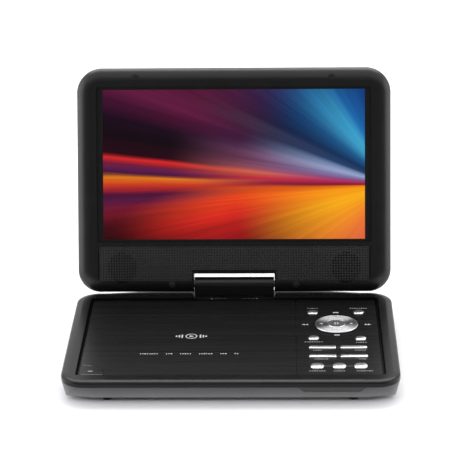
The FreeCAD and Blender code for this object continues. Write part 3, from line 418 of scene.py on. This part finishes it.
MAT = {
    "shell_black": moulded("shell_black", 0.006, 0.24, gloss=0.2),
    # lower shell colour carries painted light from the desk, paler towards the bottom
    "lower_shell": lower_shell(),
    "bezel_gloss": moulded("bezel_gloss", 0.007, 0.33, depth=0.008, gloss=0.45),
    "grille_black": moulded("grille_black", 0.026, 0.42),
    "inner_plastic": moulded("inner_plastic", 0.045, 0.40),
    "jack_black": moulded("jack_black", 0.018, 0.35),
    "rubber_black": moulded("rubber_black", 0.009, 0.6, grain=1500, depth=0.05, gloss=0.25),
    "window_dark": moulded("window_dark", 0.045, 0.2, depth=0.004),
    "panel_brushed": brushed_black(),
    "key_silver": brushed_silver(False),
    "key_silver_turned": brushed_silver(True),
    "steel": plain_metal("steel", (0.52, 0.52, 0.53), 0.32),
    "port_metal": plain_metal("port_metal", (0.62, 0.62, 0.63), 0.25),
    "foil": plain_metal("foil", (0.7, 0.7, 0.72), 0.3, 140.0),
    "bush_black": moulded("bush_black", 0.004, 0.5, gloss=0.1),
    "board_green": circuit_board(),
    "ink": print_ink("ink", 0.55),
    "ink_dim": print_ink("ink_dim", 0.30),
    "ink_edge": print_ink("ink_edge", 0.10),
    # pale grey for the painted highlights on the open button's edges
    "highlight_paint": print_ink("highlight_paint", 0.20),
    "lens_clear": moulded("lens_clear", 0.3, 0.05, depth=0.001, tint=(0.6, 0.8, 1.2)),
    "screen": moulded("screen", 0.006, 0.10, depth=0.002),
    "picture": picture(),
}

OWN_LOOKS = {"direction_pad": "key_silver_turned"}   # nodes whose material isn't named by their slot


def dress_frame():
    """Give every carried-over node its material by its record slot."""
    slots = {s["node"]: s["material_slot"] for s in frame["record"]["subparts"]}
    for name, obj in NODES.items():
        obj.data.materials.clear()
        obj.data.materials.append(MAT[OWN_LOOKS.get(name, slots[name])])


def finish_piece(obj, body, material):
    """Material and body of a new piece."""
    obj.data.materials.append(MAT[material])
    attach(obj, body)


# ------------------------------------------------------------- display pieces
def make_picture():
    """Thin glowing sheet whose edge lies behind the mask."""
    half = PICTURE_HALF + PICTURE_TUCK
    low, high = PICTURE_LOW - PICTURE_TUCK, PICTURE_HIGH + PICTURE_TUCK
    corners = [(-half, low), (half, low), (half, high), (-half, high)]
    depths = (PICTURE_FACE - PICTURE_THICK, PICTURE_FACE)
    verts = [on_display(x, depth, h) for depth in depths for x, h in corners]
    faces = [(4, 5, 6, 7), (3, 2, 1, 0), (0, 1, 5, 4), (1, 2, 6, 5), (2, 3, 7, 6), (3, 0, 4, 7)]
    obj = make_object("screen_picture", verts, faces)
    layer = obj.data.uv_layers.new(name="picture")
    for loop in obj.data.loops:
        x, h = corners[loop.vertex_index % len(corners)]
        layer.data[loop.index].uv = (x / PICTURE_UNIT, (h - PICTURE_LOW) / PICTURE_UNIT)
    obj.visible_glossy = False
    obj.visible_diffuse = False
    finish_piece(obj, "display", "picture")


GRILLE_HALF = 102.9
GRILLE_LOW, GRILLE_HIGH = 2.9, 28.9
GRILLE_PITCH = 2.0
GRILLE_FACE = 5.95                        # its front, ahead of the tilt axis
GRILLE_THICK = 1.0
DIMPLE_RADIUS, DIMPLE_DEPTH = 0.60, 0.6
DIMPLE_TAPER = 0.62                       # floor of a dimple, as a share of its mouth
HOLE_RADIUS = 0.74
NOTCH_X, NOTCH_TOP = 31.7, 9.4            # room for the hinge block
SPEAKERS = [(-84.5, 12.8), (84.5, 12.8)]
SPEAKER_REACH = 11.4
OCTAGON = [math.radians(22.5 + 45 * k) for k in range(8)]


def grille_cell(build, x, h, hole):
    """One square of the grille with a round dimple, or with a hole right through."""
    half = GRILLE_PITCH / 2
    mouth = HOLE_RADIUS if hole else DIMPLE_RADIUS
    end = mouth if hole else mouth * DIMPLE_TAPER
    back = GRILLE_FACE - (GRILLE_THICK if hole else DIMPLE_DEPTH)
    sides = len(OCTAGON)
    square = [half / max(abs(math.cos(a)), abs(math.sin(a))) for a in OCTAGON]
    start = len(build.verts)
    for radii, depth in ((square, GRILLE_FACE), ([mouth] * sides, GRILLE_FACE), ([end] * sides, back)):
        build.verts += [(x + r * math.cos(a), depth, h + r * math.sin(a)) for r, a in zip(radii, OCTAGON)]
    for k in range(sides):
        n = (k + 1) % sides
        for ring in (start, start + sides):
            build.faces.append((ring + k, ring + n, ring + sides + n, ring + sides + k))
    for q, (cx, ch) in enumerate(((half, half), (-half, half), (-half, -half), (half, -half))):
        build.faces.append((start + 2 * q, len(build.verts), start + 2 * q + 1))
        build.verts.append((x + cx, GRILLE_FACE, h + ch))
    if not hole:
        build.faces.append(tuple(start + 2 * sides + k for k in range(sides)))


def make_grille():
    """Speaker strip: a square grid of dimples, cut right through in front of each speaker."""
    build = Build()
    columns = int(GRILLE_HALF * 2 // GRILLE_PITCH)
    rows = int((GRILLE_HIGH - GRILLE_LOW) // GRILLE_PITCH)
    middle = (GRILLE_LOW + GRILLE_HIGH) / 2
    for i in range(columns):
        for j in range(rows):
            x = (i - (columns - 1) / 2) * GRILLE_PITCH
            h = middle + (j - (rows - 1) / 2) * GRILLE_PITCH
            in_notch = abs(x) < NOTCH_X + GRILLE_PITCH / 2 and h < NOTCH_TOP + GRILLE_PITCH / 2
            if not in_notch:
                hole = any(math.hypot(x - sx, h - sh) < SPEAKER_REACH for sx, sh in SPEAKERS)
                grille_cell(build, x, h, hole)
    obj = make_object("speaker_strip", [on_display(*v) for v in build.verts], build.faces)
    finish_piece(obj, "display", "grille_black")
    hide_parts("speaker_grille")


# ------------------------------------------------------------- keys
FLANGE = 0.7 * MM                         # hidden rim that holds a key under the panel
KEY_ROOT = PANEL_Z - 1.2 * MM
CROWN_STEPS = 6


def key_box(name):
    """Low corner, high corner and middle of a key, in metres."""
    low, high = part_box(name)
    center = [(a + b) / 2 for a, b in zip(low, high)]
    return Vector(low), Vector(high), Vector(center)


def centre(name):
    """Middle of a key in millimetres."""
    return key_box(name)[2] / MM


def dome_rings(outline_at, z_edge, z_top, shrink, softness=1.0):
    """Rings of a key: straight side, rounded shoulder and low crown."""
    rings = [outline_at(1.0, KEY_ROOT), outline_at(1.0, z_edge)]
    for k in range(1, CROWN_STEPS + 1):
        a = math.pi / 2 * k / CROWN_STEPS
        size = 1 - shrink * (1 - math.cos(a)) ** softness
        rings.append(outline_at(size, z_edge + (z_top - z_edge) * math.sin(a)))
    return rings


def make_key(name, rings, smooth_angle):
    """Crowned key that takes the place of the plain one and rides with it."""
    build = Build()
    build.loops(rings)
    obj = build.object(name.replace("_button", "_key"), smooth_angle)
    finish_piece(obj, name, "key_silver")
    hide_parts(name)


def make_round_key(name):
    low, high, mid = key_box(name)
    rx = (high.x - low.x) / 2 - FLANGE
    ry = (high.y - low.y) / 2 - FLANGE

    def outline(k, z):
        return [(x, y, z) for x, y in circle(mid.x, mid.y, rx * k, ry * k)]

    edge, top = PANEL_Z + 0.25 * MM, high.z + 0.35 * MM
    make_key(name, dome_rings(outline, edge, top, shrink=0.94, softness=0.9), 60)


def bar_outline(low, high, k, round_left, count=12):
    """Bar seen from above with one round end, shrunk towards its middle line by k."""
    full = (high.y - low.y) / 2 - FLANGE
    r = full * k
    mid_y = (high.y + low.y) / 2
    x0, x1 = low.x + FLANGE, high.x - FLANGE
    steps = [math.pi / 2 - math.pi * j / count for j in range(count + 1)]
    if round_left:
        square_x = x1 - (full - r)
        cap = [(x0 + full - r * math.cos(a), mid_y + r * math.sin(a)) for a in steps]
        return cap + [(square_x, mid_y - r), (square_x, mid_y + r)]
    square_x = x0 + (full - r)
    cap = [(x1 - full + r * math.cos(a), mid_y - r * math.sin(a)) for a in steps]
    return cap + [(square_x, mid_y + r), (square_x, mid_y - r)]


def make_bar_key(name, round_left):
    low, high, _ = key_box(name)

    def outline(k, z):
        return [(x, y, z) for x, y in bar_outline(low, high, k, round_left)]

    edge, top = PANEL_Z + 0.3 * MM, PANEL_Z + 1.0 * MM
    make_key(name, dome_rings(outline, edge, top, shrink=0.75), 50)


def make_keys():
    for name in ("mode", "source", "stop", "setup", "repeat", "title", "display"):
        make_round_key(name + "_button")
    for name, left in (("rewind", True), ("forward", False), ("previous", True), ("next", False)):
        make_bar_key(name + "_button", left)


LINK_LOW, LINK_TOP = PANEL_Z - 0.4 * MM, PANEL_Z + 0.06 * MM
KEY_WIDTH = 10.6                          # of a round low key, with a gap at each side


def make_key_links():
    """Dark bars between the low keys and in the gaps of the bar keys."""
    build = Build()
    a, b, c = (centre(n) for n in ("repeat_button", "title_button", "display_button"))
    for left, right in ((a, b), (b, c)):
        link = rect((left.x + right.x) / 2, left.y, right.x - left.x - KEY_WIDTH, 3.0)
        build.prism(scale_mm(link), LINK_LOW, LINK_TOP)
    for left, right in (("rewind_button", "forward_button"), ("previous_button", "next_button")):
        x0 = (key_box(left)[1].x - FLANGE) / MM
        x1 = (key_box(right)[0].x + FLANGE) / MM
        link = rect((x0 + x1) / 2, centre(left).y, x1 - x0 - 0.6, 3.6)
        build.prism(scale_mm(link), LINK_LOW, LINK_TOP)
    finish_piece(build.object("key_links"), "base", "jack_black")


# ------------------------------------------------------------- printed marks
INK_LIFT = 0.03 * MM
BLOCK_HEIGHT, BLOCK_PITCH = 1.4, 1.7
ARROW = 2.4
ALMOST_ROUND = 2 * math.pi * 0.999        # a ring with a hair gap, so that its outline is one line


def print_marks(name, outlines, z, body, material="ink"):
    """One piece of thin printed shapes on a level surface at height z."""
    build = Build()
    for outline in outlines:
        build.prism(scale_mm(outline), z, z + INK_LIFT)
    finish_piece(build.object(name), body, material)


def blocks(x, y, count):
    """Row of small uneven blocks that stands where a word would be."""
    outlines = []
    at = x - BLOCK_PITCH * (count - 1) / 2
    for k in range(count):
        width = 0.75 + 0.3 * (k % 3)
        tall = BLOCK_HEIGHT * (1.0 - 0.3 * ((k * 5) % 3) / 2)
        outlines.append(rect(at, y, width, tall))
        at += BLOCK_PITCH
    return outlines


# caption offset from its key in X and Y, and its number of blocks
CAPTIONS = {
    "mode": (0, 7.6, 5), "source": (0, 7.6, 8), "stop": (0, -7.0, 8), "setup": (0, -7.0, 5),
    "rewind": (-3.5, -4.8, 4), "forward": (4.5, -4.8, 5), "previous": (-1.0, -4.8, 6), "next": (5.5, -4.8, 3),
    "repeat": (0, -8.2, 7), "title": (0, -8.2, 5), "display": (2.5, -8.2, 7)}


def make_captions():
    captions = []
    for name, (dx, dy, count) in CAPTIONS.items():
        key = centre(name + "_button")
        captions += blocks(key.x + dx, key.y + dy, count)
    print_marks("key_captions", captions, PANEL_Z, "base", "ink_dim")


def make_pad_marks():
    """Double arrows beside the direction pad, small arrows on it and two bars on its middle key."""
    pad = centre("direction_pad")
    beside = [triangle(ARROW, math.pi, pad.x - reach, pad.y) for reach in (24.4, 22.0)]
    beside += [triangle(ARROW, 0, pad.x + reach, pad.y) for reach in (22.0, 24.4)]
    beside += [rect(pad.x, pad.y + 22.3, 4.2, 1.6), rect(pad.x, pad.y - 19.2, 4.0, 1.6)]
    print_marks("pad_marks", beside, PANEL_Z, "base")
    ring = 11.3
    on_pad = [triangle(ARROW, math.pi, pad.x - ring, pad.y), triangle(ARROW, 0, pad.x + ring, pad.y)]
    on_pad += [triangle(1.8, side * math.pi / 2, pad.x, pad.y + side * ring) for side in (1, -1)]
    print_marks("pad_arrows", on_pad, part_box("direction_pad")[1][2], "direction_pad")
    bars = [rect(pad.x + side * 0.9, pad.y, 1.0, 3.2) for side in (-1, 1)]
    print_marks("ok_mark", bars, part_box("ok_button")[1][2], "ok_button")


def make_lid_marks():
    """Ring with a triangle and three bars on each side, and a line of blocks in front of it."""
    x, y = SPINDLE.x / MM, SPINDLE.y / MM
    emblem = [arc_band(x, y, 3.5, 4.3, 0, ALMOST_ROUND, 48), triangle(3.4, 0, x + 0.4, y)]
    for side in (-1, 1):
        emblem += [rect(x + side * (6.6 + 2.1 * k), y, 1.1, 5.6 - 1.6 * k) for k in range(3)]
    print_marks("lid_emblem", emblem, LID_Z, "disc_lid")
    line = []
    at = x - 36.0
    for count in (8, 3, 5, 6, 3, 2):
        width = BLOCK_PITCH * count
        line += blocks(at + width / 2, y - 31.0, count)
        at += width + 5.0
    print_marks("lid_line", line, LID_Z, "disc_lid")


def make_open_marks_and_highlights():
    """Small bar printed on the open button, and painted highlight lines along its front edge and its arc."""
    low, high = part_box("open_button")
    x, y = low[0] / MM, low[1] / MM
    reach = (high[0] - low[0]) / MM
    print_marks("open_mark", [rect(x + 7.2, y + 6.2, 3.4, 0.8)], high[2], "open_button")
    # painted highlights: pale lines where the button's front edge and arc would catch the light
    highlight_lines = [rect(x + reach * 0.5, y + 0.45, reach * 0.86, 0.4),
             arc_band(x, y, reach - 0.8, reach - 0.35, math.radians(62), math.radians(86))]
    print_marks("open_highlight_lines", highlight_lines, high[2], "open_button", "highlight_paint")


def make_swivel_mark():
    """Faint double arrow on the deck in front of the hinge."""
    deck_z = 15.6 * MM
    x, y = SWIVEL_X / MM, SWIVEL_Y / MM - 10.0
    marks = [triangle(ARROW, math.pi, x - 17.5, y), triangle(ARROW, 0, x + 17.5, y)]
    marks += [rect(x + side * step, y, 2.2, 0.5) for side in (-1, 1) for step in (7.5, 11.0, 14.0)]
    print_marks("swivel_mark", marks, deck_z, "base", "ink_edge")


def make_marks():
    make_captions()
    make_pad_marks()
    make_lid_marks()
    make_open_marks_and_highlights()
    make_swivel_mark()


# ------------------------------------------------------------- stage, light and camera
WORLD_BRIGHT, WORLD_DARK = 1.1, 0.06
CAMERA = {"azimuth": -1.487, "elevation": 20.922, "roll": -0.728, "distance": 1.56316,
          "lens": 168.466, "target": (-0.001446, 0.0, 0.088124)}


def make_camera():
    az, el, roll = (math.radians(CAMERA[k]) for k in ("azimuth", "elevation", "roll"))
    forward = Vector((math.sin(az) * math.cos(el), math.cos(az) * math.cos(el), -math.sin(el)))
    right = Vector((math.cos(az), -math.sin(az), 0))
    up = right.cross(forward)
    x_axis = math.cos(roll) * right + math.sin(roll) * up
    y_axis = -math.sin(roll) * right + math.cos(roll) * up
    data = bpy.data.cameras.new("camera")
    data.lens = CAMERA["lens"]
    data.sensor_width = 36.0
    data.clip_end = 20.0
    obj = bpy.data.objects.new("camera", data)
    place = Vector(CAMERA["target"]) - CAMERA["distance"] * forward
    turn = Matrix((x_axis, y_axis, -forward)).transposed()
    obj.matrix_world = Matrix.Translation(place) @ turn.to_4x4()
    bpy.context.scene.collection.objects.link(obj)
    bpy.context.scene.camera = obj


def make_floor():
    size = 6.0
    verts = [(-size, -size, 0), (size, -size, 0), (size, size, 0), (-size, size, 0)]
    floor = make_object("floor", verts, [(0, 1, 2, 3)])
    s = Shade("floor_paper", grey(0.90), 0.9)
    s.color(s.ramp(s.noise(3.0), [(0.3, grey(0.89)), (0.7, grey(0.92))]))
    floor.data.materials.append(s.mat)


def area_light(name, place, aim, size, power):
    data = bpy.data.lights.new(name, "AREA")
    data.shape = "RECTANGLE"
    data.size, data.size_y = size
    data.energy = power
    obj = bpy.data.objects.new(name, data)
    place = Vector(place)
    direction = Vector(aim) - place
    obj.matrix_world = Matrix.Translation(place) @ direction.to_track_quat("-Z", "Y").to_matrix().to_4x4()
    bpy.context.scene.collection.objects.link(obj)


def make_world():
    """White room, dark in front at low height so that the glossy display stays black."""
    world = bpy.data.worlds.new("studio")
    world.use_nodes = True
    tree = world.node_tree
    background = tree.nodes["Background"]
    way = tree.nodes.new("ShaderNodeTexCoord")
    parts = tree.nodes.new("ShaderNodeSeparateXYZ")
    tree.links.new(way.outputs["Generated"], parts.inputs[0])

    def ease(socket, low, high, to_low, to_high):
        node = tree.nodes.new("ShaderNodeMapRange")
        node.interpolation_type = "SMOOTHSTEP"
        for key, value in (("From Min", low), ("From Max", high), ("To Min", to_low), ("To Max", to_high)):
            node.inputs[key].default_value = value
        tree.links.new(socket, node.inputs["Value"])
        return node.outputs["Result"]

    in_front = ease(parts.outputs["Y"], -0.75, -0.2, 1.0, 0.0)
    low_down = ease(parts.outputs["Z"], 0.45, 0.85, 1.0, 0.0)
    both = tree.nodes.new("ShaderNodeMath")
    both.operation = "MULTIPLY"
    tree.links.new(in_front, both.inputs[0])
    tree.links.new(low_down, both.inputs[1])
    level = ease(both.outputs[0], 0.0, 1.0, WORLD_BRIGHT, WORLD_DARK)
    tree.links.new(level, background.inputs["Strength"])
    background.inputs["Color"].default_value = (1.0, 1.0, 1.0, 1)
    bpy.context.scene.world = world


def make_lights():
    """White room with two wide soft lights at the sides and one behind and above."""
    make_world()
    side_size, top_size = (0.9, 0.8), (1.3, 0.6)
    area_light("left_strip", (-0.9, -0.06, 0.25), (0, 0.07, 0.10), side_size, 4)
    area_light("right_strip", (0.9, -0.02, 0.25), (0, 0.07, 0.10), side_size, 3)
    area_light("top_soft", (0.0, 0.55, 0.95), (0, -0.05, 0), top_size, 9)
    bpy.context.scene.view_settings.view_transform = "Standard"


dress_frame()
make_picture()
make_grille()
make_keys()
make_key_links()
make_marks()
make_camera()
make_floor()
make_lights()
